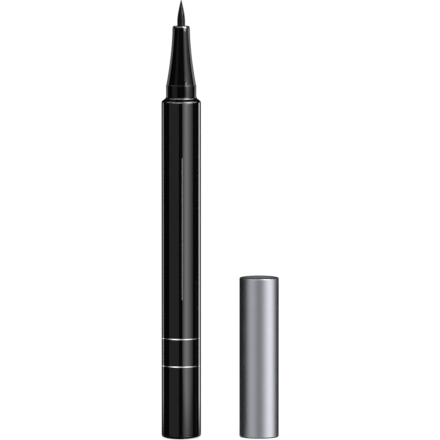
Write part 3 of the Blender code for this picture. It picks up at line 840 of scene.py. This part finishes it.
def inner_cap_spring():
    """The wire helix behind the inner cap, with closer end turns and flat cut ends."""
    radius, foot, head = reach("inner_cap_spring")
    middle = radius - SPRING_WIRE_RADIUS
    height = head - foot - 2 * SPRING_WIRE_RADIUS
    open_pitch = (height - 2 * SPRING_END_PITCH) / (SPRING_TURNS - 2)
    shape = bmesh.new()
    bmesh.ops.create_circle(shape, cap_ends=True, segments=SPRING_WIRE_SIDES, radius=SPRING_WIRE_RADIUS)
    bmesh.ops.rotate(shape, verts=shape.verts, cent=Vector(), matrix=Matrix.Rotation(math.pi / 2, 3, "X"))
    start = cap_axis + Vector((middle, 0.0, foot + SPRING_WIRE_RADIUS))
    bmesh.ops.translate(shape, verts=shape.verts, vec=start)
    turned_by = Matrix.Rotation(math.tau / SPRING_TURN_POINTS, 3, "Z")
    edges = shape.edges[:]
    for index in range(SPRING_TURNS * SPRING_TURN_POINTS):
        turn = (index + 0.5) / SPRING_TURN_POINTS
        closed_turn = turn < 1 or turn > SPRING_TURNS - 1
        pitch = SPRING_END_PITCH if closed_turn else open_pitch
        grown = bmesh.ops.extrude_edge_only(shape, edges=edges)["geom"]
        edges = [part for part in grown if isinstance(part, bmesh.types.BMEdge)]
        points = [part for part in grown if isinstance(part, bmesh.types.BMVert)]
        bmesh.ops.rotate(shape, verts=points, cent=cap_axis, matrix=turned_by)
        bmesh.ops.translate(shape, verts=points, vec=Vector((0.0, 0.0, pitch / SPRING_TURN_POINTS)))
    bmesh.ops.contextual_create(shape, geom=edges)
    bmesh.ops.recalc_face_normals(shape, faces=shape.faces)
    made = piece("spring_coil", shape, "cap", (steel,), ["inner_cap_spring"])
    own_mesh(made)


def mixing_ball():
    """The steel ball that stirs the ink."""
    radius, foot, _ = reach("mixing_ball")
    middle = axis_of("mixing_ball") + Vector((0.0, 0.0, foot + radius))
    shape = bmesh.new()
    bmesh.ops.create_icosphere(shape, subdivisions=BALL_SUBDIVISIONS, radius=radius)
    bmesh.ops.translate(shape, verts=shape.verts, vec=middle)
    piece("stirring_ball", shape, "mixing_ball", (steel,), ["mixing_ball"])


def finish_cad_nodes():
    """Finishes of the nodes that are shown as the frame has them."""
    for names, material in (
        (("ink_tank",), milky),
        (("ink_collector", "brush_retainer"), white),
        (("tank_seal", "nozzle_seal"), rubber),
        (("feed_wick",), fibre),
        (("brush_holder",), moulding),
    ):
        for name in names:
            mesh = frame["nodes"][name].data
            mesh.materials.clear()
            mesh.materials.append(material)


# Studio


def direction(azimuth, elevation=0.0):
    """The way from the set to a place. Azimuth is to the right of the camera, and both are in degrees."""
    turn, lift = math.radians(azimuth), math.radians(elevation)
    return Vector((math.sin(turn) * math.cos(lift), -math.cos(turn) * math.cos(lift), math.sin(lift)))


def set_up(made, place, away):
    """Puts a camera or lamp in the scene at its place, looking back along the way out to it."""
    made.location = place
    made.rotation_euler = (-away).to_track_quat("-Z", "Y").to_euler()
    bpy.context.scene.collection.objects.link(made)


def camera():
    data = bpy.data.cameras.new("camera")
    data.sensor_width = SENSOR_WIDTH
    data.lens = SENSOR_WIDTH * CAMERA_DISTANCE / FRAME_WIDTH
    data.clip_start = CAMERA_NEAR
    data.clip_end = CAMERA_FAR
    made = bpy.data.objects.new("camera", data)
    away = direction(0.0, CAMERA_ELEVATION)
    set_up(made, AIM + away * CAMERA_DISTANCE, away)
    bpy.context.scene.camera = made


def seen_white(tree):
    """1 for camera, glossy and transmission rays, and 0 for the rays that carry light between surfaces."""
    path = tree.nodes.new("ShaderNodeLightPath").outputs
    either = calculated(tree, "MAXIMUM", path["Is Camera Ray"], path["Is Glossy Ray"])
    return calculated(tree, "MAXIMUM", either, path["Is Transmission Ray"])


def white_world():
    world = bpy.data.worlds.new("studio")
    world.use_nodes = True
    tree = world.node_tree
    background = tree.nodes["Background"].inputs
    background["Color"].default_value = (1.0, 1.0, 1.0, 1.0)
    strength = ranged(tree, seen_white(tree), (0.0, 1.0), (AMBIENT, 1.0))
    tree.links.new(strength, background["Strength"])
    bpy.context.scene.world = world


def white_floor():
    """A plain white floor that keeps a soft shadow. Gloss looks past it into the studio."""
    material = bpy.data.materials.new("floor_white")
    material.use_nodes = True
    tree = material.node_tree
    tree.nodes.clear()
    paint = tree.nodes.new("ShaderNodeBsdfDiffuse")
    paint.inputs["Color"].default_value = (FLOOR_PAINT, FLOOR_PAINT, FLOOR_PAINT, 1.0)
    glow = tree.nodes.new("ShaderNodeEmission")
    both = tree.nodes.new("ShaderNodeAddShader")
    output = tree.nodes.new("ShaderNodeOutputMaterial")
    strength = calculated(tree, "MULTIPLY", seen_white(tree), FLOOR_GLOW)
    tree.links.new(strength, glow.inputs["Strength"])
    tree.links.new(paint.outputs["BSDF"], both.inputs[0])
    tree.links.new(glow.outputs["Emission"], both.inputs[1])
    tree.links.new(both.outputs["Shader"], output.inputs["Surface"])
    shape = bmesh.new()
    bmesh.ops.create_grid(shape, x_segments=1, y_segments=1, size=FLOOR_SIZE / 2)
    floor = object_of("floor", shape, (material,))
    floor.visible_glossy = False
    floor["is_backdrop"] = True


def black_flag():
    """Black cloth right round the set, that gloss alone sees, as deep blacks need."""
    material = bpy.data.materials.new("flag_black")
    material.use_nodes = True
    cloth = material.node_tree.nodes["Principled BSDF"].inputs
    cloth["Base Color"].default_value = (0.0, 0.0, 0.0, 1.0)
    cloth["Specular IOR Level"].default_value = 0.0
    cloth["Emission Color"].default_value = (1.0, 1.0, 1.0, 1.0)
    cloth["Emission Strength"].default_value = FLAG_GLOW
    shape = bmesh.new()
    bmesh.ops.create_cone(
        shape,
        cap_ends=True,
        segments=FLAG_SIDES,
        radius1=FLAG_RADIUS,
        radius2=FLAG_RADIUS,
        depth=FLAG_HEIGHT,
    )
    bmesh.ops.reverse_faces(shape, faces=shape.faces)
    flag = object_of("black_flag", shape, (material,))
    flag.visible_camera = False
    flag.visible_diffuse = False
    flag.visible_transmission = False
    flag.visible_shadow = False
    flag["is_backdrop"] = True


def area_lamp(name, lit, place, away, width, height, radiance, tint=NEUTRAL):
    """A rectangular lamp that lights the pieces of one collection, or everything where that is None."""
    data = bpy.data.lights.new(name, "AREA")
    data.shape = "RECTANGLE"
    data.size = width
    data.size_y = height
    data.energy = radiance * math.pi * data.size * data.size_y
    data.color = tint
    lamp = bpy.data.objects.new(name, data)
    lamp.visible_camera = False
    set_up(lamp, place, away)
    if lit:
        lamp.light_linking.receiver_collection = lit
    return data


def glow_nodes(data, glow, slant, fade, foot_glow):
    """Glow across a lamp, leaning as it climbs, that falls to the foot glow down through the fade."""
    data.use_nodes = True
    tree = data.node_tree
    place = tree.nodes.new("ShaderNodeNewGeometry")
    parts = tree.nodes.new("ShaderNodeSeparateXYZ")
    ramp = tree.nodes.new("ShaderNodeValToRGB")
    tree.links.new(place.outputs["Parametric"], parts.inputs["Vector"])
    across = calculated(tree, "MULTIPLY_ADD", parts.outputs["Y"], slant, parts.outputs["X"])
    tree.links.new(across, ramp.inputs["Fac"])
    stops = ramp.color_ramp.elements
    # New stops wait in the middle until the next loop places them
    while len(stops) < len(glow):
        stops.new(0.5)
    for stop, (share, level) in zip(stops, glow):
        stop.position = share
        stop.color = (level, level, level, 1.0)
    fading = ranged(tree, parts.outputs["Y"], fade, (foot_glow, 1.0))
    strength = calculated(tree, "MULTIPLY", ramp.outputs["Color"], fading)
    tree.links.new(strength, tree.nodes["Emission"].inputs["Strength"])


def softbox(
    name,
    lit,
    azimuth,
    width,
    radiance,
    distance=LAMP_DISTANCE,
    foot=LAMP_FOOT,
    top=LAMP_TOP,
    tint=NEUTRAL,
    glow=None,
    slant=0.0,
    foot_glow=1.0,
):
    """An upright rectangular lamp that faces the set.

    The glow is given across the lamp, as shares of its width and levels, from its lower azimuth. A slant
    makes it lean as it climbs. The foot glow is the share of it left at the heights that the foot of the
    set mirrors.
    """
    away = direction(azimuth)
    place = away * distance + Vector((0.0, 0.0, (foot + top) / 2))
    data = area_lamp(name, lit, place, away, width, top - foot, radiance, tint)
    if glow or foot_glow < 1.0:
        fade = [(share * distance - foot) / (top - foot) for share in (FADE_END_SHARE, FADE_START_SHARE)]
        glow_nodes(data, glow or EVEN_GLOW, slant, fade, foot_glow)


def high_light(name, lit, azimuth, elevation, width, height, radiance):
    """A soft lamp above or below the set, aimed at its middle."""
    away = direction(azimuth, elevation)
    area_lamp(name, lit, AIM + away * HIGH_LIGHT_DISTANCE, away, width, height, radiance)


def gathered(name, bodies=(), names=(), left_out=()):
    """A collection of the pieces of these names or on these bodies, for the lamps that light them alone."""
    found = bpy.data.collections.new(name)
    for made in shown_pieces():
        on_body = body_of(made)[0] in bodies and made.name not in left_out
        if on_body or made.name in names:
            found.objects.link(made)
    return found


barrel()
barrel_rings()
tail_plug()
nozzle()
brush()
cap_shell()
cap_crown()
cap_liner()
inner_cap()
inner_cap_spring()
mixing_ball()
finish_cad_nodes()

camera()
white_world()
white_floor()
black_flag()

# The cap isn't mirrored in the barrel
for name in ("cap_tube", "cap_top"):
    bpy.data.objects[name].visible_glossy = False

pen_bodies = ("pen", "mixing_ball")
cap_bodies = ("cap", "inner_cap")
front_end = ("nozzle_shell", "bristles")
rings = tuple(name for name, _ in RINGS)
on_barrel = gathered("lit_barrel", pen_bodies, left_out=front_end)
on_black = gathered("lit_black", pen_bodies, left_out=front_end + rings)
on_rings = gathered("lit_rings", names=rings)
on_nozzle = gathered("lit_nozzle", names=front_end)
on_cap = gathered("lit_cap", cap_bodies)
on_tubes = gathered("lit_tube", names=("barrel_tube", "nozzle_shell"))

# Streaks and rims of the barrel and of its rings
softbox(
    "barrel_key", on_black, 40, width=0.7, radiance=2.0, distance=0.55, foot_glow=0.46,
    glow=(
        (0.0, 0.3), (0.09, 0.42), (0.18, 0.62), (0.275, 0.9), (0.36, 1.0), (0.445, 0.87),
        (0.54, 0.76), (0.62, 0.59), (0.71, 0.4), (0.82, 0.29), (0.935, 0.15), (1.0, 0.1),
    ),
)
softbox("barrel_fill", on_black, -44, width=0.7, radiance=0.18, distance=0.6, tint=COOL)
softbox(
    "ring_key", on_rings, 38, width=1.0, radiance=1.5,
    glow=(
        (0.0, 0.0), (0.11, 0.0), (0.24, 0.4), (0.304, 0.76), (0.416, 1.0), (0.579, 0.85),
        (0.702, 0.6), (0.772, 0.35), (0.859, 0.15), (1.0, 0.08),
    ),
)
softbox(
    "ring_fill", on_rings, -38, width=1.0, radiance=1.6,
    glow=(
        (0.0, 0.08), (0.16, 0.2), (0.267, 0.4), (0.394, 0.82), (0.526, 1.0), (0.666, 0.78),
        (0.759, 0.42), (0.89, 0.24), (1.0, 0.2),
    ),
)
softbox("ring_left_edge", on_rings, -106, width=0.4, radiance=0.06)
softbox("ring_right_edge", on_rings, 103, width=0.4, radiance=0.2)
softbox("ring_left_rim", on_rings, -131.5, width=0.1, radiance=1.7, top=RIM_LAMP_TOP)
softbox("ring_right_rim", on_rings, 131, width=0.12, radiance=1.0, top=RIM_LAMP_TOP)
softbox("barrel_right_rim", on_black, 131, width=0.11, radiance=2.5, top=RIM_LAMP_TOP, foot_glow=0.12)
softbox("barrel_left_rim", on_black, -131.5, width=0.1, radiance=1.0, top=RIM_LAMP_TOP, foot_glow=0.1)

# Streaks and rims of the nozzle, below and above its crease
softbox(
    "nozzle_key", on_nozzle, 60, width=0.742, radiance=1.05, distance=0.55, top=0.35,
    glow=(
        (0.0, 0.1), (0.138, 0.4), (0.26, 0.75), (0.356, 1.0), (0.46, 0.8), (0.565, 0.55),
        (0.7, 0.33), (0.845, 0.2), (1.0, 0.15),
    ),
)
softbox("rim_glint", on_nozzle, 49, width=0.25, radiance=4.2, distance=0.55, foot=0.06, top=0.096)
softbox(
    "nozzle_fill", on_nozzle, -52, width=0.42, radiance=0.13, distance=0.55, top=CREASE_HEIGHT, tint=COOL
)
softbox(
    "flare_fill", on_nozzle, -42, width=0.25, radiance=0.08, distance=0.55, foot=CREASE_HEIGHT, top=0.28,
    tint=COOL,
)
softbox("nozzle_right_rim", on_nozzle, 137, width=0.25, radiance=0.5, top=CREASE_HEIGHT)
softbox("nozzle_left_rim", on_nozzle, -136, width=0.25, radiance=0.36, top=CREASE_HEIGHT)
softbox(
    "flare_right_rim", on_nozzle, 134, width=0.86, radiance=0.9, foot=0.07, top=0.35, slant=-0.95,
    glow=((0.0, 0.0), (0.02, 1.0), (0.2, 0.9), (0.4, 0.55), (0.6, 0.32), (1.0, 0.2)),
)
softbox(
    "flare_left_rim", on_nozzle, -134, width=0.86, radiance=0.55, foot=0.07, top=0.35, slant=0.95,
    glow=((0.0, 0.2), (0.4, 0.32), (0.6, 0.55), (0.8, 0.9), (0.98, 1.0), (1.0, 0.0)),
)

# Broad soft bands of the cap
softbox(
    "cap_key", on_cap, 60, width=1.28, radiance=1.37, distance=0.45, top=CAP_LAMP_TOP, tint=PALE_COOL,
    glow=(
        (0.0, 0.15), (0.15, 0.18), (0.273, 0.33), (0.36, 0.57), (0.445, 0.78), (0.53, 1.0),
        (0.62, 0.94), (0.745, 0.41), (0.85, 0.2), (1.0, 0.04),
    ),
)
softbox(
    "cap_fill", on_cap, -45, width=1.19, radiance=0.62, top=CAP_LAMP_TOP, tint=PALE_COOL,
    glow=(
        (0.0, 0.12), (0.25, 0.4), (0.37, 0.7), (0.48, 0.96), (0.57, 1.0), (0.66, 0.78),
        (0.77, 0.54), (1.0, 0.32),
    ),
)

# Low lamps behind the set
softbox("barrel_back", on_barrel, 165, width=0.3, radiance=1.0, distance=0.6, foot=BACK_LAMP_FOOT, top=-0.08)
softbox("nozzle_back", on_nozzle, 165, width=0.3, radiance=0.7, distance=0.6, foot=BACK_LAMP_FOOT, top=-0.06)
softbox("cap_back", on_cap, 180, width=0.5, radiance=0.55, foot=BACK_LAMP_FOOT, top=-0.08)
softbox("cap_back_left", on_cap, -142, width=0.25, radiance=0.3, foot=BACK_LAMP_FOOT, top=-0.1)

# Lamps above the set, with two under it
for name, lit, azimuth, elevation, width, height, radiance in (
    ("barrel_high_far_left", on_barrel, -88, 46, 0.5, 0.55, 1.1),
    ("barrel_high_left", on_barrel, -38, 46, 0.55, 0.55, 2.3),
    ("barrel_high_front", on_barrel, 4, 46, 0.6, 0.55, 1.5),
    ("barrel_low_key", on_barrel, 36, 19, 0.35, 0.28, 4.0),
    ("barrel_high_key", on_barrel, 58, 50, 0.42, 0.75, 7.0),
    ("barrel_high_right", on_barrel, 98, 46, 0.45, 0.55, 2.2),
    ("nozzle_high_far_left", on_nozzle, -92, 50, 0.5, 0.5, 1.6),
    ("nozzle_high_left", on_nozzle, -45, 52, 0.5, 0.5, 1.8),
    ("nozzle_high_front", on_nozzle, 4, 52, 0.6, 0.5, 1.2),
    ("nozzle_high_key", on_nozzle, 55, 40.2, 0.55, 0.66, 11.0),
    ("nozzle_high_right", on_nozzle, 98, 46, 0.45, 0.5, 1.6),
    ("cap_high_left", on_cap, -45, 48, 0.5, 0.5, 1.8),
    ("cap_high_key", on_cap, 50, 48, 0.5, 0.5, 5.0),
    ("overhead", None, 15, 60, 0.5, 0.5, 1.0),
    ("cap_under", on_cap, 0, -89, 1.4, 1.4, 0.5),
    ("barrel_under", on_tubes, 0, -89, 1.4, 1.4, 0.25),
):
    high_light(name, lit, azimuth, elevation, width, height, radiance)

bpy.context.scene.view_settings.view_transform = "Standard"
